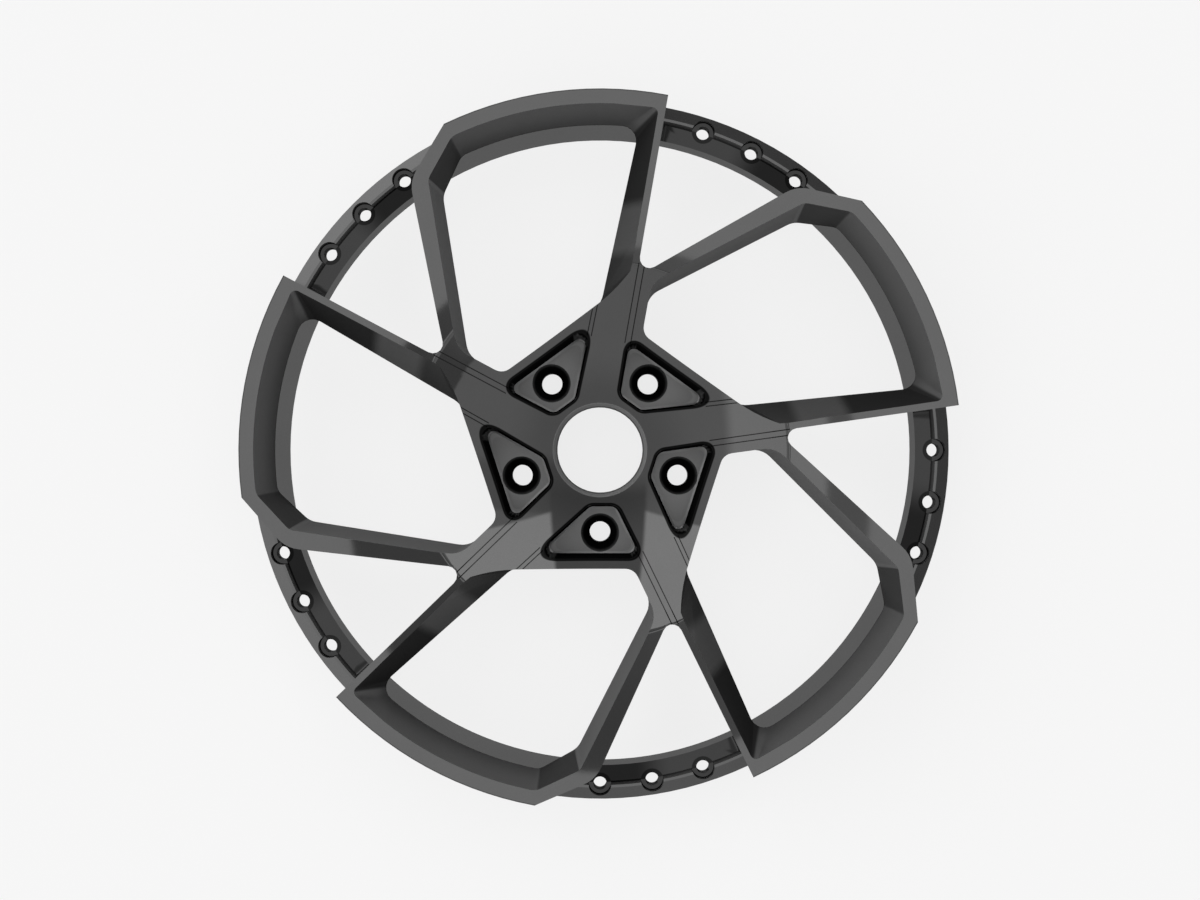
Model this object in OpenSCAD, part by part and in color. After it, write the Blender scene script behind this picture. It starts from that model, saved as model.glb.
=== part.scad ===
// One-piece centre of a split rim wheel: hub, five stems, five open petals and the bolted rim ring.
// It lies on its hub pad with the face up. Origin: middle of the hub pad. +Z points out of the face,
// and +Y runs along the middle of one stem. Every outline below is drawn for that stem and repeated.

/* [Hub] */
// Number of stems, petals, lug holes and gaps
sectors = 5; // [5:1:5]
// Diameter of the centre bore
bore_d = 60.1; // [54:0.1:66]
// Width of the chamfer at the front of the bore
bore_chamfer = 1.8; // [0.5:0.1:2.5]
// Width of the chamfer at the rear of the bore
rear_chamfer = 1.5; // [0.5:0.1:2.5]
// Diameter of the flat pad that meets the axle hub
pad_d = 148; // [142:1:154]
// Width of the hub from the lug circle out to each of its straight sides
hub_land = 23.15; // [21.35:0.05:26.85]

/* [Lug holes] */
// Diameter of the circle through the lug holes
lug_pcd = 114.3; // [112:0.1:116]
// Diameter of each lug hole
lug_hole_d = 14.6; // [12.5:0.1:16]
// Diameter of the tapered seat at its wide end
lug_seat_d = 22.6; // [20:0.1:24]
// Included angle of the tapered seat
lug_seat_angle = 60; // [50:1:90]
// Width of the chamfer round the seat
lug_chamfer = 2; // [1:0.1:2.5]

/* [Lug pockets] */
// Height of the pocket floor above the pad
pocket_floor = 24; // [20:0.5:28]
// Width of the hub rim left outside the pocket
pocket_rim = 6; // [4:0.1:8]
// Width of the hub left between the bore and a pocket
pocket_wall = 6.25; // [4.95:0.05:7.95]
// Distance by which the pocket stays behind the stem edge line
pocket_stem_gap = 0.5; // [0.3:0.1:2]
// Distance from the axis to the line of the pocket's far side
pocket_far = 21.6; // [21:0.1:22.5]
// Angle of the pocket's far side to its stem
pocket_far_angle = 11.8; // [11:0.1:12.5]
// Radius of the two outer corners of the pocket
pocket_outer_r = 7.2; // [6:0.1:8]
// Radius of the two inner corners of the pocket
pocket_inner_r = 9; // [7:0.1:10]
// Radius of the fillet round the pocket floor
pocket_fillet = 1.8; // [1:0.1:2.5]
// Draft of the pocket walls in degrees
pocket_draft = 3.2; // [1:0.1:5]

/* [Front face] */
// Height of the middle of the hollow dish above the pad
dish_low = 40; // [36:0.5:44]
// Radius of the hollow dish
dish_r = 245; // [235:1:260]
// Slope of the front where the dish ends, in degrees
dish_slope = 26; // [24:0.5:27]
// Radius of the shoulder between the dish and the outer face
shoulder_r = 79; // [70:1:90]
// Slope of the outer face in degrees
face_slope = 1.5; // [0.5:0.1:2.5]

/* [Rim ring] */
// Outer diameter of the rim ring
ring_d = 477; // [476:0.1:478]
// Width of the rim ring from its edge to its inner lip
ring_w = 27.3; // [26.5:0.1:29]
// Height of the top of the ring above the pad
ring_top = 43; // [40:0.5:46]
// Thickness of the rim ring
ring_thick = 17.5; // [14:0.5:20]
// Width of the inner lip of the ring
lip_w = 3.7; // [3:0.1:5]
// Height of the straight edge under the lip
lip_edge = 0.6; // [0.4:0.1:2]
// Outward taper of the ring's inner wall in degrees
ring_taper = 12; // [11:0.5:15]
// Depth of the channel between the lip and the bolt land
channel_depth = 4; // [3:0.1:5]
// Distance from the ring's edge in to the inner foot of the bolt land
land_foot = 12; // [11.5:0.1:13.5]
// Width of the slope between the channel and the land
land_slope_w = 2.1; // [1.5:0.1:2.5]
// Width of the flat top of the land
land_w = 1.8; // [1:0.1:2.5]
// Drop of the outer band of the ring to its edge
band_drop = 3; // [1:0.1:4]

/* [Rim bolts] */
// Distance from the ring's edge in to the circle through the rim bolt holes
rim_bolt_inset = 10; // [9.5:0.1:11]
// Diameter of each rim bolt hole
rim_hole_d = 9; // [8:0.1:10]
// Diameter of each rim bolt seat
rim_seat_d = 15.4; // [14:0.1:16]
// Depth of each rim bolt seat below the land
rim_seat_depth = 6.5; // [5:0.1:8]
// Angle from the stem to the first rim bolt, clockwise
rim_first = 18; // [17.5:0.1:18.5]
// Angle between rim bolts
rim_pitch = 9; // [8.5:0.1:9]
// Number of rim bolts in one gap
rim_bolts = 3; // [1:1:3]

/* [Petals] */
// Distance by which the petals stand out past the ring
petal_past = 1.2; // [0.8:0.1:3.5]
// Width of the front band along the outer arc
arc_w = 9.5; // [8:0.1:12]
// Draft of the wall inside the outer arc in degrees
arc_draft = 14.9; // [12:0.1:16]
// Angle of the straight leg to its stem
leg_angle = 9.9; // [9.5:0.1:10.5]
// Distance from the axis to the edge line of the straight leg
leg_edge = 4.1; // [3.5:0.1:5]
// Width of the front of the straight leg
leg_w = 4.3; // [4:0.1:6]
// Angle of the foot of the straight leg's wall to its stem
leg_foot_angle = 12.3; // [11.8:0.1:12.8]
// Distance from the axis to the foot line of that wall
leg_foot = 20.6; // [20:0.1:21.5]
// Distance beyond the hub side at which the wall of the straight leg ends
leg_reach = 41.2; // [38.7:0.1:43.7]
// Length of the curve between the hub side and the end of that wall, seen from the hub side
leg_end_curve = 25; // [22:0.5:28]
// Angle of the broad leg to its own stem
broad_angle = 11.4; // [11:0.1:11.9]
// Distance by which the outer line of the broad leg passes outside the hub side
broad_out = 8.1; // [7.6:0.1:9.5]
// Angle of the wall of the broad leg to its own stem
broad_wall_angle = 9; // [8.4:0.1:10]
// Distance by which that wall passes outside the hub side
broad_wall_out = 4.6; // [3.7:0.1:5.7]
// Draft of the wall of the broad leg in degrees
broad_draft = 10.9; // [9:0.1:12]
// Direction of the outer side of the petal's cut corner
cut_angle = 59.1; // [58:0.1:60]
// Distance from the petal's edge in to the outer side of the cut corner
cut_depth = 39.9; // [38.7:0.1:40.7]
// Direction of the inner side of the cut corner
cut_inner_angle = 60.6; // [59.5:0.1:62]
// Distance from the petal's edge in to the inner side of the cut corner
cut_inner_depth = 51.8; // [50.5:0.1:53.5]
// Direction of the foot of the wall in the cut corner
cut_foot_angle = 65; // [64:0.1:66]
// Distance from the petal's edge in to the foot of the wall in the cut corner
cut_foot_depth = 69.4; // [68:0.1:71]
// Outer radius between the cut corner and the broad leg
knee_r = 22; // [15:0.5:26]

/* [Windows] */
// Distance from the axis to the far side of each stem
stem_side = 14.7; // [13.5:0.1:16]
// Radius between the outer arc and the straight leg, at the front
arc_leg_r = 4; // [3:0.1:5]
// Growth of that radius with each millimetre of depth
arc_leg_growth = 0.19; // [0.1:0.01:0.2]
// Radius between the outer arc and the cut corner
arc_cut_r = 10; // [8:0.5:12]
// Radius between the cut corner and the broad leg, at the front
cut_broad_r = 8; // [6:0.5:10]
// Growth of that radius with each millimetre of depth
cut_broad_growth = 0.2; // [0.1:0.01:0.25]
// Radius between the broad leg and the stem
broad_stem_r = 15; // [12:0.1:17]
// Angle by which the window opens again towards the rear
rear_flare = 6; // [5:0.5:8]
// Radius between the stem and the hub
stem_hub_r = 9; // [7:0.1:11]
// Radius between the hub and the straight leg
hub_leg_r = 16; // [12:0.5:20]
// Radius at the inner corner of the small window
fork_r = 6.5; // [5:0.1:7.5]

/* [Rear] */
// Height of the underside above the pad where it leaves the pad
rear_step = 14; // [12:0.5:16]
// Radius of the fillet at the foot of the petal's side
foot_r = 3; // [2:0.1:3.5]

/* [Stem lines] */
// Width of each fine groove
line_w = 0.7; // [0.5:0.1:1]
// Depth of each fine groove
line_depth = 0.7; // [0.3:0.1:1]
// Distance between the two grooves beside the straight leg
line_pair = 3.9; // [3:0.1:5]
// Distance between the two grooves beside the pocket's far side
line_pair_far = 2.8; // [2:0.1:4]
// Length of the grooves beyond the inner corner of the small window
line_past = 12; // [6:1:14]
// Length of the grooves beside the pocket's far side beyond the hub side
line_far = 20; // [12:1:22]

/* [Hidden] */
$fn = 120;

turn = 360 / sectors;
// Direction of the hub side and the lug hole clockwise of the stem
hub_dir = 90 - turn / 2;
// Lowest level of every cut
low = -2;
bore_r = bore_d / 2;
hub_side = lug_pcd / 2 + hub_land;
leg_end = hub_side + leg_reach;
pad_r = pad_d / 2;
ring_r = ring_d / 2;
lip_r = ring_r - ring_w;
land_foot_r = ring_r - land_foot;
petal_r = ring_r + petal_past;
ring_rear = ring_top - ring_thick;
channel_z = ring_top - channel_depth;
beyond_r = 1.12 * petal_r;

// Front profile: the dish is an arc about the axis, the shoulder an arc that is tangent to it
dish_steps = 12;
shoulder_steps = 10;
dish_end = [dish_r * sin(dish_slope), dish_low + dish_r * (1 - cos(dish_slope))];
shoulder_c = dish_end + shoulder_r * [sin(dish_slope), -cos(dish_slope)];
shoulder_end = shoulder_c + shoulder_r * [-sin(face_slope), cos(face_slope)];
function front_z(r) = r < dish_end.x ? dish_low + dish_r - sqrt(pow(dish_r, 2) - r * r)
    : r < shoulder_end.x ? shoulder_c.y + sqrt(pow(shoulder_r, 2) - pow(shoulder_c.x - r, 2))
    : shoulder_end.y + (r - shoulder_end.x) * tan(face_slope);
face_z = front_z(petal_r);
front_radii = concat([for (i = [0:dish_steps]) dish_end.x * i / dish_steps],
    [for (i = [1:shoulder_steps]) dish_end.x + (shoulder_end.x - dish_end.x) * i / shoulder_steps],
    [petal_r]);
front = [for (r = front_radii) [r, front_z(r)]];
// Highest level of every cut
high = face_z + 8;

// A straight side is [direction of its normal, distance from the axis]; normals point out of the cut
leg_outer = [180 - leg_angle, -leg_edge];
leg_inner = [-leg_angle, leg_edge - leg_w];
leg_foot_line = [-leg_foot_angle, -leg_foot];
broad_outer = [180 + broad_angle, hub_side + broad_out];
broad_inner = [180 + broad_wall_angle, hub_side + broad_wall_out];
cut_outer = [90 + cut_angle, petal_r - cut_depth];
cut_wall = [90 + cut_inner_angle, petal_r - cut_inner_depth];
cut_foot = [90 + cut_foot_angle, petal_r - cut_foot_depth];
hub_wall = [hub_dir + turn + 180, -hub_side];
stem_wall = [180 - leg_angle + turn, -stem_side];
arc_r = petal_r - arc_w;

// Steps in each rounded corner, along the straight leg and along the outer arc
corner_steps = 5;
leg_steps = 4;
arc_steps = 12;
// Angle between a fillet of the outer arc and the next step of the arc
arc_clear = 1.5;
// Height by which a cut's upper edge clears the front
clear = 0.5;
// Distance from a curve to the next point of the straight leg
leg_start = 1;
// Distance by which the window is wider at the lowest level of the cut than at the top of the ring
rear_open = (ring_top - low) * tan(rear_flare);

// Side s moved inwards by m, moved outwards by m, and turned by a
function moved(s, m) = [s[0], s[1] - m];
function opened(s, m) = [s[0], s[1] + m];
function turned(s, a) = [s[0] + a, s[1]];

// Point where sides s and t meet
function meet(s, t) = [s[1] * sin(t[0]) - t[1] * sin(s[0]), t[1] * cos(s[0]) - s[1] * cos(t[0])]
    / sin(t[0] - s[0]);

// Points of an arc about c from angle a to angle b
function arc(c, r, a, b, n) = [for (i = [0:n]) let (t = a + (b - a) * i / n) c + r * [cos(t), sin(t)]];

// Rounded corner of radius r between sides s and t
function corner(s, t, r) = arc(meet(moved(s, r), moved(t, r)), r, s[0], t[0], corner_steps);

// Centre of a fillet inside a circle of radius big that touches side s, after (+1) or before (-1) it
function rim_fillet(s, big, r, way) = let (d = s[1] - r, h = sqrt(pow(big - r, 2) - d * d))
    d * [cos(s[0]), sin(s[0])] + way * h * [-sin(s[0]), cos(s[0])];

// Closed solid through rings of points, all with the same number of points
module loft(rings) {
    n = len(rings[0]);
    last = len(rings) - 1;
    polyhedron(
        points = [for (r = rings) each r],
        faces = concat(
            [[for (i = [0:n - 1]) i]],
            [for (k = [0:last - 1]) for (i = [0:n - 1])
                [k * n + i, (k + 1) * n + i, (k + 1) * n + (i + 1) % n, k * n + (i + 1) % n]],
            [[for (i = [n - 1:-1:0]) last * n + i]]),
        convexity = 4);
}

// Points p laid at height z
function lay(p, z) = [for (q = p) [q.x, q.y, z]];

// Points p laid just above the front
function lay_front(p) = [for (q = p) [q.x, q.y, front_z(norm(q)) + clear]];

// Point on side s, at distance t along it
function along(s, t) = s[1] * [cos(s[0]), sin(s[0])] + t * [-sin(s[0]), cos(s[0])];

// Arc that leaves side s at point p and ends at point q
function arc_off(s, p, q) =
    let (inward = -[cos(s[0]), sin(s[0])], w = q - p, r = w * w / (2 * w * inward), c = p + r * inward,
        d = q - c)
    arc(c, r, s[0], s[0] + 2 * asin(norm(w) / (2 * r)), corner_steps);

// Radius of the window's outer arc at height z, and of its fillet at the straight leg
function arc_big(z) = arc_r + (z - face_z) * tan(arc_draft);
function arc_leg(z) = arc_leg_r - (z - face_z) * arc_leg_growth;

// Inner side of the cut corner at the face or at the top of the ring, opened by back
function cut_side(z, back) = opened(z > ring_top ? cut_wall : cut_foot, back);

// Centres of the outer arc's fillets at height z: at the straight leg and at the cut corner
function arc_ends(z, leg, back) =
    [rim_fillet(leg, arc_big(z), arc_leg(z), 1), rim_fillet(cut_side(z, back), arc_big(z), arc_cut_r, -1)];

// The arc's shared steps run between its fillets at every height
arc_levels = [arc_ends(ring_top, opened(leg_foot_line, rear_open), rear_open),
    arc_ends(ring_top, leg_foot_line, 0), arc_ends(face_z, leg_inner, 0)];
arc_from = max([for (e = arc_levels) atan2(e[0].y, e[0].x)]) + arc_clear;
arc_to = min([for (e = arc_levels) atan2(e[1].y, e[1].x)]) - arc_clear;

// Drafted sides of the big window at height z, from the straight leg over the outer arc to the stem
function window_sides(z, leg, back) =
    let (k = z - face_z, ends = arc_ends(z, leg, back), c_leg = ends[0], c_cut = ends[1],
        cut = cut_side(z, back),
        broad = [broad_inner[0], broad_inner[1] + k * tan(broad_draft) + back],
        stem = opened(stem_wall, back))
    concat(
        arc(c_leg, arc_leg(z), leg[0], atan2(c_leg.y, c_leg.x), corner_steps),
        arc([0, 0], arc_big(z), arc_from, arc_to, arc_steps),
        arc(c_cut, arc_cut_r, atan2(c_cut.y, c_cut.x), cut[0], corner_steps),
        corner(cut, broad, cut_broad_r - k * cut_broad_growth),
        corner(broad, stem, broad_stem_r),
        corner(stem, hub_wall, stem_hub_r));

// Wall of the straight leg at height z as points from its inner end out to the fillet at the outer arc
function leg_points(leg, from, z) =
    let (to = rim_fillet(leg, arc_big(z), arc_leg(z), 1) * [-sin(leg[0]), cos(leg[0])])
    [for (i = [0:leg_steps - 1]) along(leg, from + (to - from) * i / leg_steps)];

// Outline of the big window at the top of the ring, opened by back, and at the front face
function window_foot(back) =
    let (leg = opened(leg_foot_line, back), end = corner(hub_wall, turned(leg, 360), hub_leg_r))
    concat(window_sides(ring_top, leg, back), end,
        leg_points(leg, end[corner_steps] * [-sin(leg[0]), cos(leg[0])] + leg_start, ring_top));
function window_face() =
    let (m = meet(hub_wall, turned(leg_inner, 360)), t = m * [-sin(hub_wall[0]), cos(hub_wall[0])])
    concat(lay(window_sides(face_z, leg_inner, 0), face_z + clear),
        lay_front(arc_off(hub_wall, along(hub_wall, t - leg_end_curve), along(leg_inner, leg_end))),
        lay_front(leg_points(leg_inner, leg_end + leg_start, face_z)));

// Big window: open to the face above the ring, and inside the ring all the way through
module window_cut() {
    face = window_face();
    intersection() {
        loft([lay(window_foot(rear_open), low), lay(window_foot(0), ring_top),
            face, lay(face, high)]);
        rotate_extrude() polygon([[0, low - 1], [lip_r, low - 1], [lip_r, ring_top],
            [beyond_r, ring_top], [beyond_r, high + 1], [0, high + 1]]);
    }
}

// Outline of the space between two petals, with the small window at its inner end
module gap_outline() {
    broad = turned(broad_outer, -turn);
    cut = turned(cut_outer, -turn);
    far = sqrt(pow(beyond_r, 2) - pow(cut[1], 2));
    polygon(concat(
        corner(leg_outer, [broad[0] + 180, -broad[1]], fork_r),
        arc(meet(moved(broad, knee_r), moved(cut, knee_r)), knee_r, broad[0], cut[0], corner_steps),
        [cut[1] * [cos(cut[0]), sin(cut[0])] + far * [sin(cut[0]), -cos(cut[0])],
            leg_edge * [cos(leg_angle), -sin(leg_angle)] + beyond_r * [sin(leg_angle), cos(leg_angle)]]));
}

// Section of the ring with its lip, channel, bolt land and sloping outer band, taken down to below the pad
module ring_section() {
    land_r = land_foot_r + land_slope_w;
    band_r = land_r + land_w;
    slope = band_drop / (ring_r - band_r);
    past = ring_r + 4;
    polygon([[lip_r, low - 1], [lip_r, ring_top], [lip_r + lip_w, ring_top], [lip_r + lip_w, channel_z],
        [land_foot_r, channel_z], [land_r, ring_top], [band_r, ring_top],
        [past, ring_top - slope * (past - band_r)], [past, low - 1]]);
}

// Fillet at the foot of the petal's side, where it stands in the channel
module foot_fillet() {
    rotate(-leg_angle) translate([leg_edge, lip_r + lip_w / 2, channel_z]) rotate([-90, 0, 0])
        linear_extrude(land_foot_r + land_slope_w - lip_r - lip_w / 2) polygon(concat(
            [[-1, 1], [-1, -foot_r], [0, -foot_r]],
            [for (a = [15:15:75]) foot_r * [1 - cos(a), sin(a) - 1]],
            [[foot_r, 0], [foot_r, 1]]));
}

// Space between two petals: everything above the ring and inside it
module gap_cut() {
    difference() {
        translate([0, 0, low]) linear_extrude(high - low) gap_outline();
        rotate_extrude() ring_section();
        foot_fillet();
    }
}

// Height of the underside at radius r: a parabola from the ring in to the pad
function under(r) = ring_top - lip_edge
    - (ring_top - lip_edge - rear_step) * pow((lip_r - r) / (lip_r - pad_r), 2);

// Relief behind the stems and petals, up to the tapered inner wall and rear face of the ring
module rear_cut() {
    steps = 12;
    wall = (ring_thick - lip_edge) * tan(ring_taper);
    rotate_extrude() polygon(concat(
        [[pad_r, low]],
        [for (i = [0:steps]) let (r = pad_r + (lip_r - pad_r) * i / steps) [r, under(r)]],
        [[lip_r + wall, ring_rear], [ring_r + 2, ring_rear], [ring_r + 2, low]]));
}

// Outline of a lug pocket, drawn on the clockwise side of the stem and moved inwards by m
function pocket_outline(m) =
    let (far = moved([-pocket_far_angle - turn, -pocket_far], m),
        outer = moved([hub_dir, hub_side - pocket_rim], m),
        stem = moved([180 - leg_angle, -leg_edge - pocket_stem_gap], m),
        inner = moved([hub_dir + 180, -bore_r - pocket_wall], m))
    concat(
        corner(far, outer, pocket_outer_r - m),
        corner(outer, stem, pocket_outer_r - m),
        corner(stem, inner, pocket_inner_r - m),
        corner(inner, turned(far, 360), pocket_inner_r - m));

// Lug pocket: drafted walls with a fillet round the floor
module lug_pocket() {
    depth = dish_end.y - pocket_floor;
    foot = depth * tan(pocket_draft);
    loft(concat(
        [for (a = [0, 45, 90]) lay(pocket_outline(foot + pocket_fillet * (1 - sin(a))),
            pocket_floor + pocket_fillet * (1 - cos(a)))],
        [lay(pocket_outline(0), dish_end.y)]));
}

// Lug hole with its tapered seat and the chamfer round it
module lug_bore() {
    seat_top = pocket_floor - lug_chamfer;
    seat_deep = (lug_seat_d - lug_hole_d) / 2 / tan(lug_seat_angle / 2);
    over = 1;
    rotate(hub_dir) translate([lug_pcd / 2, 0, 0]) {
        translate([0, 0, low]) cylinder(d = lug_hole_d, h = pocket_floor - low);
        rotate_extrude() polygon([[0, seat_top - seat_deep], [lug_hole_d / 2, seat_top - seat_deep],
            [lug_seat_d / 2, seat_top], [lug_seat_d / 2 + lug_chamfer + over, pocket_floor + over],
            [0, pocket_floor + over]]);
    }
}

// Rim bolt hole with its flat seat
module rim_bore(angle) {
    rotate(90 - angle) translate([ring_r - rim_bolt_inset, 0, 0]) {
        translate([0, 0, ring_rear - 1]) cylinder(d = rim_hole_d, h = ring_thick);
        translate([0, 0, ring_top - rim_seat_depth]) cylinder(d = rim_seat_d, h = rim_seat_depth + 1);
    }
}

// Plan of one fine groove along a side line, between two distances along the line
module groove_plan(angle, offset, from, to) {
    rotate(-angle) translate([offset - line_w / 2, from]) square([line_w, to - from]);
}

// Fine grooves that run up each stem, cut to an even depth below the face
module stem_grooves() {
    start = hub_side - pocket_rim;
    fork = meet([-leg_angle, leg_edge], turned(broad_outer, -turn)).y;
    difference() {
        translate([0, 0, pocket_floor]) linear_extrude(high - pocket_floor)
            for (i = [0:sectors - 1]) rotate(i * turn) {
                groove_plan(leg_angle, leg_edge, start, fork + line_past);
                groove_plan(leg_angle, leg_edge + line_pair, start, fork + line_past);
                groove_plan(pocket_far_angle, -pocket_far, start, hub_side + line_far);
                groove_plan(pocket_far_angle, -pocket_far - line_pair_far, start, hub_side + line_far);
            }
        translate([0, 0, -line_depth]) rotate_extrude()
            polygon(concat([[0, low]], front, [[petal_r, low]]));
    }
}

// Solid of revolution under the front profile, with the petals standing just proud of the ring
module front_solid() {
    rotate_extrude() polygon(concat([[0, 0]], front,
        [[petal_r, ring_top], [ring_r, ring_top], [ring_r, 0]]));
}

// Centre bore with a chamfer at each end
module centre_bore() {
    top = front_z(bore_r + bore_chamfer);
    over = 1;
    translate([0, 0, low]) cylinder(d = bore_d, h = high);
    rotate_extrude() polygon([[0, top - bore_chamfer], [bore_r, top - bore_chamfer],
        [bore_r + bore_chamfer + over, top + over], [0, top + over]]);
    rotate_extrude() polygon([[0, rear_chamfer], [bore_r, rear_chamfer],
        [bore_r + rear_chamfer + over, -over], [0, -over]]);
}

module wheel_centre() {
    color("#3b3c3e") difference() {
        front_solid();
        rear_cut();
        for (i = [0:sectors - 1]) rotate(i * turn) {
            gap_cut();
            window_cut();
            lug_pocket();
            lug_bore();
            for (j = [0:rim_bolts - 1]) rim_bore(rim_first + j * rim_pitch);
        }
        stem_grooves();
        centre_bore();
    }
}

wheel_centre();
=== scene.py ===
"""Looks for the one-piece centre of a split rim wheel: satin anthracite paint, a pale floor and soft
studio light. The wheel lies on its hub pad with its face up and the camera looks straight down on it."""

import math

import bmesh
import bpy
import numpy as np
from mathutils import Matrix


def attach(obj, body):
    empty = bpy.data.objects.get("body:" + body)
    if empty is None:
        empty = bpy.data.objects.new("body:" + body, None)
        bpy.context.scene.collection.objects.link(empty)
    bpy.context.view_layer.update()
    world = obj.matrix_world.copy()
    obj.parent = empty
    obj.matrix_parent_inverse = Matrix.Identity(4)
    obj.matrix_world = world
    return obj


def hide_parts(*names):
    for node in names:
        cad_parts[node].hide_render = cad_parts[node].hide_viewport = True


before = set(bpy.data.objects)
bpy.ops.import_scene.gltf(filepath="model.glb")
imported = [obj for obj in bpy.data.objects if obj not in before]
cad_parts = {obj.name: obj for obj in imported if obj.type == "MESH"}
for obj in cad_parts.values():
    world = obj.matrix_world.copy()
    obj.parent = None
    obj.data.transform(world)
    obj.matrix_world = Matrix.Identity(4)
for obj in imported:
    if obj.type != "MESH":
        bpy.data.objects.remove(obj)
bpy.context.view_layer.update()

MM = 0.001
CAMERA_HEIGHT = 1180 * MM
LENS = 50.0
SENSOR = 36.0
FLOOR_HALF = 14.0

# Greys as linear values; the walls' grey is set for how dark the steep walls look, a painted shade
PAINT_GREY = 0.128
WALL_GREY = 0.125
FLOOR_GREY = 0.86

# How far the floor shows its own white instead of the light that falls on it
FLOOR_WHITE = 0.8

# The hollow dish round the hub and the rounded shoulder outside it: radius, centre height and reach
DISH_R = 245 * MM
DISH_MIDDLE = 285 * MM
DISH_REACH = DISH_R * math.sin(math.radians(26))
SHOULDER_R = 79 * MM
SHOULDER_AT = DISH_REACH + SHOULDER_R * math.sin(math.radians(26))
SHOULDER_LOW = DISH_MIDDLE - (DISH_R + SHOULDER_R) * math.cos(math.radians(26))

# Slope of the dish's outer end and of the face outside it, and distance of the crease between them
DISH_END = math.radians(26.5)
FACE_SLOPE = math.radians(1.5)
CREASE_AT = 125.5 * MM

# A mesh edge is sharp above this angle, and a vertex within this distance of the front belongs to it
SHARP_ANGLE = math.radians(18)
FRONT_CLOSE = 0.12 * MM

# Lug pocket clockwise of the top stem: direction of each side's normal from +X in degrees, its distance
# from the axis, and how far the corner to the next side is rounded
POCKET_SIDES = [(54.0, 74.3 * MM, 11.6 * MM), (170.1, -4.6 * MM, 4.7 * MM),
                (234.0, -36.3 * MM, 2.1 * MM), (276.2, -21.6 * MM, 15.0 * MM)]
POCKET_TOP = 64.8 * MM
POCKET_DRAFT = 0.056
POCKET_FLOOR = 24 * MM

# Distances from the axis: where the bore's chamfer ends, what holds the lug holes and the lug pockets,
# where the ring's flats, channel and bolt seats begin, where its outer band begins, the petals' edge
CHAMFER_END = 32 * MM
LUG_HOLES_END = 73 * MM
POCKETS_END = 84 * MM
FLATS_FROM = 200 * MM
CHANNEL_FROM = 215 * MM
SEATS_FROM = 216 * MM
BAND_FROM = 227.5 * MM
PETAL_R = 239.7 * MM

# Heights below which the ring's flats, its channel and its bolt seats lie
FLATS_TOP = 43.5 * MM
CHANNEL_TOP = 40 * MM
SEATS_TOP = 37 * MM

# Angle from one stem to the next
SECTOR = math.radians(72)

# Painted shade: share of its light that the paint loses in each kind of hollow; painted light: what a few places
# gain
GROOVE_PAINTED_SHADE = 0.8
POCKET_RIM_PAINTED_SHADE = 0.93
POCKET_WALL_PAINTED_SHADE = 0.96
CUT_WALL_PAINTED_SHADE = 0.48
STRAIGHT_WALL_PAINTED_SHADE = 0.775
FLATS_PAINTED_SHADE = 0.23
CHANNEL_PAINTED_SHADE = 0.45
CHANNEL_END_PAINTED_SHADE = 0.7
SEAT_PAINTED_SHADE = 0.6
PETAL_EDGE_PAINTED_SHADE = 0.4
BROAD_WALL_PAINTED_LIGHT = 0.35
POCKET_FLOOR_PAINTED_LIGHT = 0.17
POCKET_FOOT_PAINTED_HIGHLIGHT = 0.08
CHAMFER_PAINTED_HIGHLIGHT = 0.09

# Brightness of the light overhead, of the studio's walls, and of its two banks above that
OVERHEAD_LIGHT = 1.04
WALL_LIGHT = 0.62
BANK_LIGHT = 0.84

# The camera stand before the overhead light, as tangents of angles from the zenith
STAND_ACROSS, STAND_ALONG, STAND_R = 0.005, -0.035, 0.105
STAND_LIGHT = 0.24
LAMP_LIGHT = 1.13


class Value:
    """A number, colour or vector socket of a node tree; operators on it add Math nodes."""

    def __init__(self, graph, socket):
        self.graph = graph
        self.socket = socket

    def math(self, operation, *others):
        return self.graph.add("ShaderNodeMath", {"operation": operation},
                              {i: v for i, v in enumerate((self,) + others)})

    def __add__(self, other):
        return self.math("ADD", other)

    __radd__ = __add__

    def __mul__(self, other):
        return self.math("MULTIPLY", other)

    __rmul__ = __mul__

    def __sub__(self, other):
        return self.math("SUBTRACT", other)

    def __rsub__(self, other):
        return self.graph.add("ShaderNodeMath", {"operation": "SUBTRACT"}, {0: other, 1: self})

    def __truediv__(self, other):
        return self.math("DIVIDE", other)

    def ramp(self, low, high, start=0.0, end=1.0):
        """Smooth step from start to end while the value goes from low to high."""
        return self.graph.add("ShaderNodeMapRange", {"interpolation_type": "SMOOTHSTEP"},
                              {0: self, 1: low, 2: high, 3: start, 4: end})

    def above(self, limit, soft):
        """1 from the limit up, 0 where the value is soft or more below it, a smooth step between."""
        return self.ramp(limit - soft, limit)

    def below(self, limit, soft):
        """1 from the limit down, 0 where the value is soft or more above it, a smooth step between."""
        return self.ramp(limit + soft, limit)


class Graph:
    """A node tree that is written one node at a time."""

    def __init__(self, owner):
        owner.use_nodes = True
        self.tree = owner.node_tree
        self.tree.nodes.clear()

    def add(self, kind, settings=None, inputs=None, out=0):
        """Adds a node, makes its settings, then links or sets its sockets; gives one output back."""
        node = self.tree.nodes.new(kind)
        for name, value in (settings or {}).items():
            setattr(node, name, value)
        for key, value in (inputs or {}).items():
            if isinstance(value, Value):
                self.tree.links.new(value.socket, node.inputs[key])
            elif isinstance(value, (int, float)) and node.inputs[key].type == "RGBA":
                node.inputs[key].default_value = (value, value, value, 1)
            else:
                node.inputs[key].default_value = value
        return Value(self, node.outputs[out]) if node.outputs else None

    def split(self, vector):
        """The three parts of a vector."""
        parts = self.tree.nodes.new("ShaderNodeSeparateXYZ")
        self.tree.links.new(vector.socket, parts.inputs[0])
        return [Value(self, parts.outputs[i]) for i in range(3)]

    def grey(self, value):
        """A grey colour from one number."""
        return self.add("ShaderNodeCombineColor", None, {0: value, 1: value, 2: value})


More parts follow.
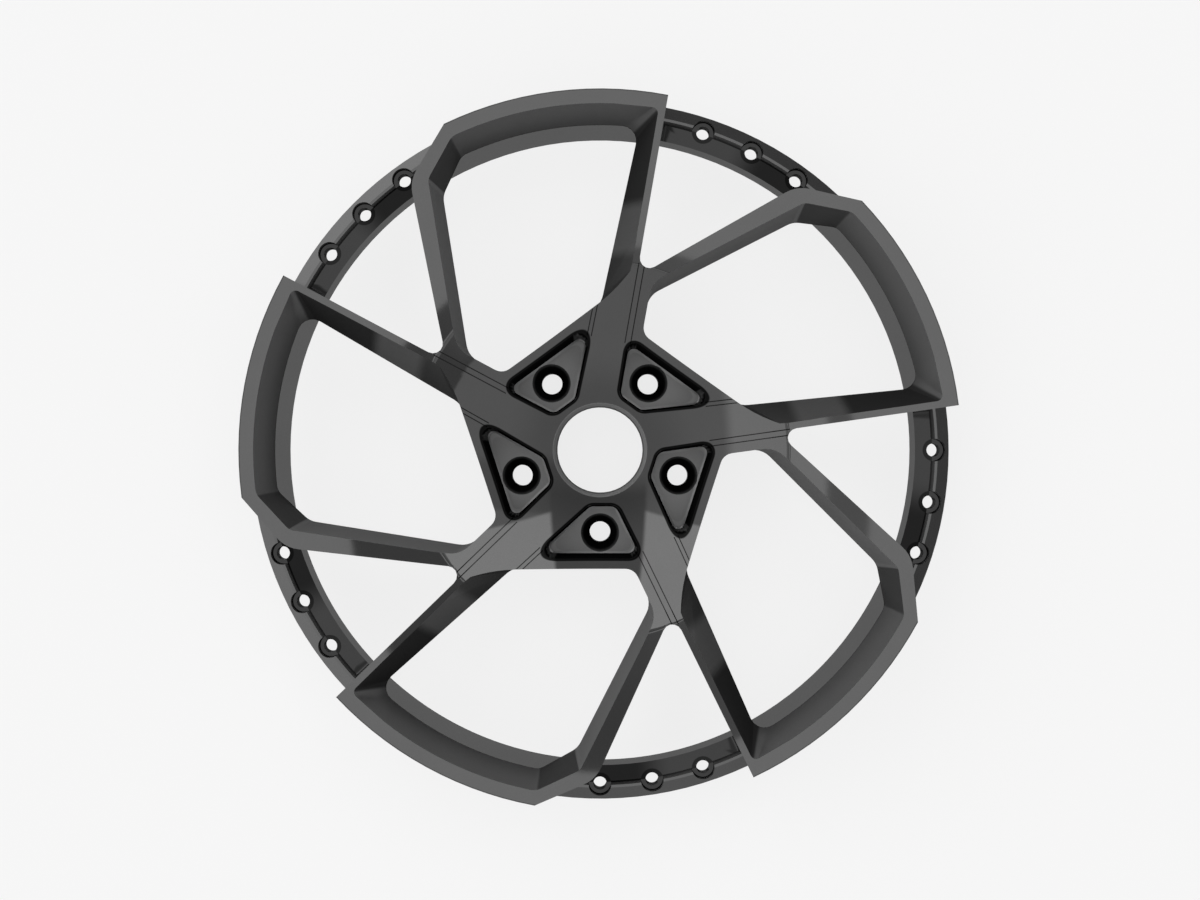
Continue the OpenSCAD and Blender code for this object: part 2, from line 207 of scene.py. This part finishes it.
def front_depth(reach, z):
    """Depth below the front: distance beyond the sphere of the hollow dish, and outside the dish the
    radius of the round shoulder less the distance from its middle."""
    lift = z - DISH_MIDDLE
    dish_depth = (reach * reach + lift * lift).math("SQRT") - DISH_R
    out, low = reach - SHOULDER_AT, z - SHOULDER_LOW
    shoulder_depth = SHOULDER_R - (out * out + low * low).math("SQRT")
    on_dish = reach.ramp(DISH_REACH + 0.1 * MM, DISH_REACH - 0.1 * MM)
    on_shoulder = (1 - on_dish) * reach.below(SHOULDER_AT - 3 * MM, 3 * MM)
    return dish_depth * on_dish + shoulder_depth * on_shoulder


def pocket_distance(x, y, reach):
    """Distance outside the outline of the nearest lug pocket, below 0 inside it. The point is turned into
    the first pocket's sector. For each corner, the distances to its two sides give the distance to the
    round corner between them, and the largest of the four holds."""
    first = math.radians(18)
    turned = (y.math("ARCTAN2", x) - first).math("FLOORED_MODULO", SECTOR) + first
    px, py = reach * turned.math("COSINE"), reach * turned.math("SINE")
    beyond = [px * math.cos(math.radians(way)) + py * math.sin(math.radians(way)) - far
              for way, far, _ in POCKET_SIDES]
    corners = []
    for i, (_, _, r) in enumerate(POCKET_SIDES):
        one, two = beyond[i] + r, beyond[(i + 1) % len(beyond)] + r
        inside = one.math("MAXIMUM", two).math("MINIMUM", 0.0)
        one, two = one.math("MAXIMUM", 0.0), two.math("MAXIMUM", 0.0)
        corners.append((one * one + two * two).math("SQRT") + inside - r)
    return corners[0].math("MAXIMUM", corners[1]).math("MAXIMUM", corners[2]).math("MAXIMUM", corners[3])


def ring_shade(x, y, z, reach, nz):
    """Share of light left on the ring by painted shade: on its flats, which lie deep between the petals, more in
    the channel, more again at the channel's end under each petal, and in the bolt seats."""
    flats = (reach.above(FLATS_FROM, 5 * MM) * reach.below(BAND_FROM, 0.5 * MM) * z.below(FLATS_TOP, 1 * MM)
             * nz.above(-0.1, 0.2))
    channel = flats * z.below(CHANNEL_TOP, 1 * MM) * reach.above(CHANNEL_FROM, 1 * MM)
    round_ring = x.math("ARCTAN2", y).math("FLOORED_MODULO", SECTOR)
    channel_end = channel * round_ring.ramp(math.radians(23), math.radians(30))
    seat = z.below(SEATS_TOP, 0.5 * MM) * reach.above(SEATS_FROM, 4 * MM) * nz.above(0.9, 0.4)
    return ((1 - flats * FLATS_PAINTED_SHADE) * (1 - channel * CHANNEL_PAINTED_SHADE) * (1 - channel_end * CHANNEL_END_PAINTED_SHADE)
            * (1 - seat * SEAT_PAINTED_SHADE))


def anthracite_paint():
    """Satin anthracite metallic paint. Fine flake and a soft mottle vary its colour and the film has a
    slight orange peel. Steep walls take less flake, so they are duller. Painted shade darkens the
    hollows: the fine grooves, the rims and walls of the lug pockets, the ring's flats, channel and
    seats, the cut corners and the straight legs' walls, and the petals' outer edge. Painted light makes
    the broad legs' walls and the pockets' floors paler, and painted highlights lie along the foot of
    the pockets' walls and on the bore's chamfer."""
    material = bpy.data.materials.new("anthracite_paint")
    g = Graph(material)
    place = g.add("ShaderNodeTexCoord", out=3)
    flake = g.add("ShaderNodeTexVoronoi", {"feature": "F1"}, {"Vector": place, "Scale": 1600.0})
    mottle = g.add("ShaderNodeTexNoise", None, {"Vector": place, "Scale": 22.0, "Detail": 4.0, "Roughness": 0.55})
    peel = g.add("ShaderNodeTexNoise", None, {"Vector": place, "Scale": 420.0, "Detail": 2.0, "Roughness": 0.5})
    x, y, z = g.split(place)
    nx, ny, nz = g.split(g.add("ShaderNodeTexCoord", out=1))

    # Where the surface lies and faces: distance from the axis, how far it faces the axis, how far it
    # faces round the wheel, and how level it is
    reach = (x * x + y * y).math("SQRT")
    inward = (x * nx + y * ny) / reach * -1
    turn = (x * ny - y * nx) / reach
    level = nz.math("ABSOLUTE").ramp(0.4, 0.85)
    wall = 1 - level

    # Fine grooves and the lug pockets' rims, both in the skin of the front, which take painted shade
    depth = front_depth(reach, z)
    beside = pocket_distance(x, y, reach) + (POCKET_TOP - z) * POCKET_DRAFT
    outside_bore = reach.above(CHAMFER_END + 2 * MM, 1 * MM)
    by_pockets = reach.below(POCKETS_END, 2 * MM)
    skin = depth.below(2.2 * MM, 0.8 * MM) * outside_bore
    groove = depth.above(0.22 * MM, 0.14 * MM) * skin * nz.above(0.86, 0.06)
    rim = beside.below(1.2 * MM, 0.6 * MM) * skin * by_pockets * nz.above(0.8, 0.3)

    # Walls of the cut corners, of the broad legs and of the straight legs, the last paler near the hub:
    #     painted shade on the cut corners' and straight legs' walls, painted light on the broad legs' walls
    cut = inward.above(0.74, 0.06) * inward.below(0.88, 0.04) * turn.below(-0.45, 0.15)
    broad = turn.below(-0.75, 0.15)
    near_hub = reach.below(162 * MM, 10 * MM) * (0.13 + reach.above(138 * MM, 10 * MM) * 0.62)
    straight = turn.above(0.75, 0.15) * (1 - near_hub)

    # The lug pockets and, below their floors, the lug seats, which take painted shade; then the floors with
    #     painted light, and painted highlights on a pale line along the foot of the pockets' walls and on the
    #     chamfer of the bore
    in_hole = z.above(12 * MM, 2 * MM) * reach.below(LUG_HOLES_END, 0.5 * MM)
    in_pocket = z.above(POCKET_FLOOR - 1 * MM, 1 * MM).math("MAXIMUM", in_hole)
    pocket = beside.below(0.2 * MM, 0.3 * MM) * by_pockets * outside_bore * in_pocket * nz.above(-0.05, 0.1)
    pocket_floor = pocket * nz.above(0.95, 0.1) * z.below(POCKET_FLOOR + 1.5 * MM, 1.5 * MM)
    foot_strip = beside.above(-1.6 * MM, 0.8 * MM) * beside.below(-0.6 * MM, 0.6 * MM)
    pocket_foot = pocket * foot_strip * nz.above(0.8, 0.2)
    chamfer = reach.below(CHAMFER_END, 0.5 * MM) * z.above(38 * MM, 1 * MM) * nz.above(0.5, 0.2)
    # Painted shade along the petals' outer edge, where a rounded edge would reflect dark
    petal_edge = reach.above(PETAL_R - 0.5 * MM, 0.5 * MM) * z.above(72 * MM, 2 * MM) * level

    # Painted shade on the walls, pockets, grooves, rims, ring and petals' edge, painted light on the broad legs'
    # walls
    shade = (1 - wall * cut * CUT_WALL_PAINTED_SHADE) * (1 - wall * straight * STRAIGHT_WALL_PAINTED_SHADE)
    shade = shade * (1 - pocket * nz.below(0.6, 0.15) * POCKET_WALL_PAINTED_SHADE)
    shade = shade * (1 - groove * GROOVE_PAINTED_SHADE) * (1 - rim * POCKET_RIM_PAINTED_SHADE) * (1 + wall * broad * BROAD_WALL_PAINTED_LIGHT)
    shade = shade * ring_shade(x, y, z, reach, nz) * (1 - petal_edge * PETAL_EDGE_PAINTED_SHADE)
    grey = (level * (PAINT_GREY - WALL_GREY) + WALL_GREY) * shade
    # Painted light on the pockets' floors and painted highlights along their walls' foot and on the bore's chamfer
    grey = grey + pocket_floor * POCKET_FLOOR_PAINTED_LIGHT + pocket_foot * POCKET_FOOT_PAINTED_HIGHLIGHT + chamfer * CHAMFER_PAINTED_HIGHLIGHT
    grey = grey * (0.95 + flake * 0.12) * (0.94 + mottle * 0.12)
    rough = 0.02 + mottle * 0.015 + wall * 0.3 + pocket * 0.35
    metal = (0.2 + level * 0.7) * (1 - pocket * 0.6) * (1 - chamfer * 0.8) * (1 - wall * straight * 0.8)
    bump = g.add("ShaderNodeBump", None, {"Strength": 0.02, "Distance": 0.00003, "Height": peel})
    shader = g.add("ShaderNodeBsdfPrincipled", None, {
        "Base Color": g.grey(grey), "Metallic": metal, "Roughness": rough, "Normal": bump,
        "Specular Tint": 0.25, "Specular IOR Level": 0.0})
    g.add("ShaderNodeOutputMaterial", None, {"Surface": shader})
    return material


def pale_floor():
    """Plain pale floor that keeps a faint shadow of the wheel. The camera, the gloss and what shines
    through see it nearly white."""
    material = bpy.data.materials.new("pale_floor")
    g = Graph(material)
    path = g.tree.nodes.new("ShaderNodeLightPath")
    seen = Value(g, path.outputs["Is Camera Ray"]).math(
        "MAXIMUM", Value(g, path.outputs["Is Glossy Ray"])).math(
        "MAXIMUM", Value(g, path.outputs["Is Transmission Ray"]))
    cloth = g.add("ShaderNodeBsdfDiffuse", None, {"Color": FLOOR_GREY})
    glow = g.add("ShaderNodeEmission", None, {"Color": 1.0, "Strength": 1.0})
    both = g.add("ShaderNodeMixShader", None, {0: seen * FLOOR_WHITE, 1: cloth, 2: glow})
    g.add("ShaderNodeOutputMaterial", None, {"Surface": both})
    return material


def studio_world():
    """Soft studio all round. Overhead hangs an even light with the dark camera stand before it, and one
    small lamp on the stand. Two bright banks hang on the +Y side with a dark gap between them. The walls
    are mid grey, turn paler down to the floor, and have a pale part on the left and a dark one at the
    far end. Places are tangents of angles from the zenith: across along X and along along Y."""
    world = bpy.data.worlds.new("studio")
    bpy.context.scene.world = world
    g = Graph(world)
    x, y, z = g.split(g.add("ShaderNodeTexCoord", out=0))
    height = z.math("MAXIMUM", 0.05)
    across, along = x / height, y / height

    overhead = z.ramp(0.974, 0.977)
    stand_x, stand_y = (across - STAND_ACROSS) / STAND_R, (along - STAND_ALONG) / STAND_R
    stand = (stand_x * stand_x + stand_y * stand_y).ramp(1.03, 0.97)
    lamp = across.ramp(0.03, 0.035) * across.ramp(0.086, 0.082)
    lamp = lamp * along.ramp(-0.055, -0.05) * along.ramp(0.03, 0.025)
    stand_light = STAND_LIGHT + (across + along * 0.5).ramp(-0.05, 0.045) * STAND_LIGHT
    stand_light = stand_light * (1 - lamp) + lamp * LAMP_LIGHT

    bank_low = (along - across.math("ABSOLUTE") * 0.36).ramp(0.222, 0.246)
    right_bank = across.ramp(0.245, 0.275) * bank_low
    left_bank = across.ramp(-0.225, -0.255) * bank_low
    gap = across.ramp(-0.255, -0.225) * across.ramp(0.275, 0.245) * along.ramp(0.12, 0.25)
    dim_right = across.ramp(-0.10, 0.10) * along.ramp(0.36, 0.32) * along.ramp(0.0, 0.1) * (1 - gap)
    left_wall = across.ramp(-0.70, -0.82)
    far_end = (across * across + along * along - along * 0.3).ramp(1.12, 1.20)
    far_end = far_end * across.ramp(-0.35, -0.1) * along.ramp(-0.9, -0.5)

    banks = ((right_bank + left_bank) * BANK_LIGHT).math("MAXIMUM", left_wall * 0.50)
    room = WALL_LIGHT - z.ramp(0.88, 0.975) * 0.14 + banks - gap * 0.24 - dim_right * 0.18
    room = room * (1 - far_end) + far_end * 0.24
    room = room * (1 - overhead) + (stand_light * stand + OVERHEAD_LIGHT * (1 - stand)) * overhead
    light = room * z.ramp(0.15, 0.35) + z.ramp(0.35, 0.15, 0.0, 0.85)
    sky = g.add("ShaderNodeBackground", None, {0: g.grey(light), 1: 1.0})
    g.add("ShaderNodeOutputWorld", None, {"Surface": sky})


def front_profile(reach):
    """Height of the front at a distance from the axis: a sphere in the hollow dish, a round shoulder
    outside it, then a cone that rises slowly to the edge."""
    dish = DISH_MIDDLE - np.sqrt(np.maximum(DISH_R ** 2 - reach ** 2, 0))
    shoulder = SHOULDER_LOW + np.sqrt(np.maximum(SHOULDER_R ** 2 - (SHOULDER_AT - reach) ** 2, 0))
    face_from = SHOULDER_AT - SHOULDER_R * math.sin(FACE_SLOPE)
    face = (SHOULDER_LOW + SHOULDER_R * math.cos(FACE_SLOPE)
            + (reach - face_from) * math.tan(FACE_SLOPE))
    return np.where(reach < DISH_REACH, dish, np.where(reach < face_from, shoulder, face))


def true_front_normals(mesh):
    """Normals of the front worked out from its section and not from its facets: in the dish they point
    at the middle of its sphere, then they keep the dish's last slope up to the crease, and outside the
    crease they have the slope of the face."""
    place = np.empty(len(mesh.vertices) * 3)
    mesh.vertices.foreach_get("co", place)
    place = place.reshape(-1, 3)
    normals = np.empty(len(mesh.loops) * 3)
    mesh.corner_normals.foreach_get("vector", normals)
    normals = normals.reshape(-1, 3)
    corner = np.empty(len(mesh.loops), dtype=np.int64)
    mesh.loops.foreach_get("vertex_index", corner)
    first = np.empty(len(mesh.polygons), dtype=np.int64)
    count = np.empty(len(mesh.polygons), dtype=np.int64)
    mesh.polygons.foreach_get("loop_start", first)
    mesh.polygons.foreach_get("loop_total", count)
    reach = np.hypot(place[:, 0], place[:, 1])
    on_front = np.abs(place[:, 2] - front_profile(reach)) < FRONT_CLOSE
    whole = np.minimum.reduceat(on_front[corner].astype(int), first) > 0
    use = np.repeat(whole, count) & (normals[:, 2] > 0.7)
    dish_slope = np.minimum(np.arcsin(np.minimum(reach / DISH_R, 1)), DISH_END)
    slope = np.where(reach < CREASE_AT, dish_slope, FACE_SLOPE)
    tilt = np.sin(slope) / np.maximum(reach, MM)
    ideal = np.stack([-tilt * place[:, 0], -tilt * place[:, 1], np.cos(slope)], axis=1)
    normals[use] = ideal[corner[use]]
    mesh.normals_split_custom_set(normals)


def painted_copy(node, name, material):
    """A copy of a CAD node with its triangles joined, its flat faces cleaned, its faces shaded smooth
    between sharp edges, and its front's normals worked out."""
    mesh = node.data.copy()
    mesh.name = name
    shape = bmesh.new()
    shape.from_mesh(mesh)
    bmesh.ops.remove_doubles(shape, verts=shape.verts, dist=0.002 * MM)
    bmesh.ops.dissolve_limit(shape, angle_limit=math.radians(0.3), verts=shape.verts, edges=shape.edges)
    shape.to_mesh(mesh)
    shape.free()
    for stored in ("custom_normal", "sharp_edge", "sharp_face"):
        if stored in mesh.attributes:
            mesh.attributes.remove(mesh.attributes[stored])
    mesh.materials.clear()
    mesh.materials.append(material)
    mesh.polygons.foreach_set("use_smooth", np.ones(len(mesh.polygons), dtype=bool))
    mesh.set_sharp_from_angle(angle=SHARP_ANGLE)
    true_front_normals(mesh)
    piece = bpy.data.objects.new(name, mesh)
    bpy.context.collection.objects.link(piece)
    return piece


def flat_square(name, half, height, material):
    """A level square about the axis, from its four corners."""
    mesh = bpy.data.meshes.new(name)
    mesh.from_pydata([(-half, -half, height), (half, -half, height), (half, half, height), (-half, half, height)],
                     [], [(0, 1, 2, 3)])
    mesh.materials.append(material)
    piece = bpy.data.objects.new(name, mesh)
    bpy.context.collection.objects.link(piece)
    return piece


paint = anthracite_paint()
wheel = painted_copy(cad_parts["wheel_centre"], "painted_centre", paint)
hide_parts("wheel_centre")
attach(wheel, "root")

flat_square("floor", FLOOR_HALF, 0.0, pale_floor())
studio_world()

camera_data = bpy.data.cameras.new("camera")
camera_data.lens = LENS
camera_data.sensor_width = SENSOR
camera_data.clip_start = 0.01
camera_data.clip_end = 100
camera = bpy.data.objects.new("camera", camera_data)
camera.location = (0, 0, CAMERA_HEIGHT)
bpy.context.collection.objects.link(camera)
bpy.context.scene.camera = camera
bpy.context.scene.view_settings.view_transform = "Standard"
